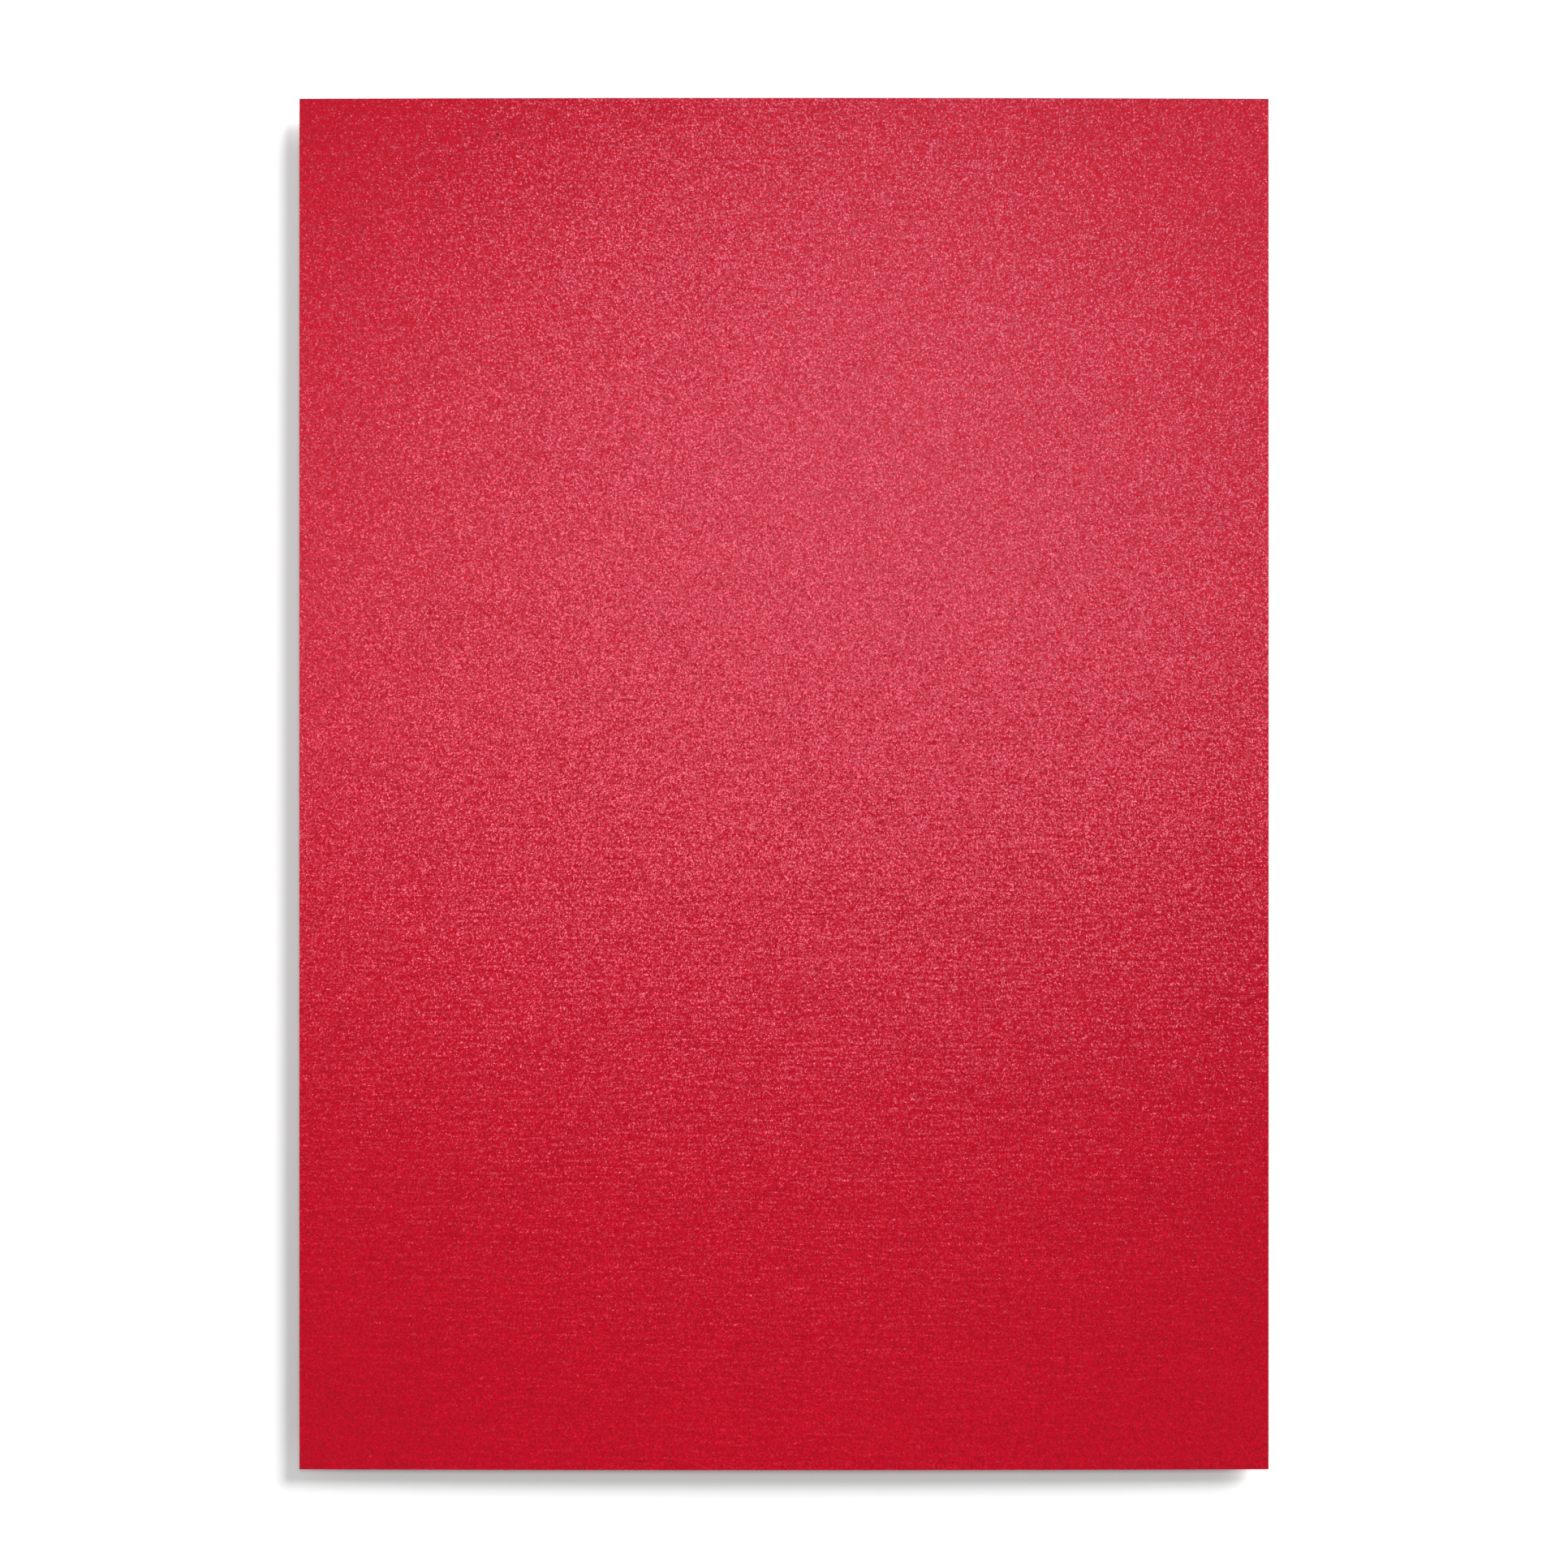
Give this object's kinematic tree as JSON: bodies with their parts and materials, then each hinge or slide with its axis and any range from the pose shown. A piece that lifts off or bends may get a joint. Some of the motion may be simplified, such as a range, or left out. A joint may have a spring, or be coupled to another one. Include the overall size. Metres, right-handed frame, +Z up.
{
  "type": "flat sheet of pearlescent card",
  "caption": "Flat rectangular sheet of red pearlescent card, unfolded, with a dyed fibre core and a fine shimmering coat on its face and back.",
  "frame": {"origin": "centre of the underside, on the surface that the sheet lies on", "axes": "+X along the width, +Y along the length, +Z up out of the sheet's face"},
  "size_m": [0.21, 0.297, 0.0003],
  "materials": {
    "pearl_coat": "satin pearlescent mica coat on a fine paper grain",
    "dyed_fibre": "matte dyed fibre, seen only at the cut edges"
  },
  "bodies": {
    "root": {"back_pearl_coat": "pearl_coat", "fibre_core": "dyed_fibre", "face_pearl_coat": "pearl_coat"}
  },
  "joints": []
}
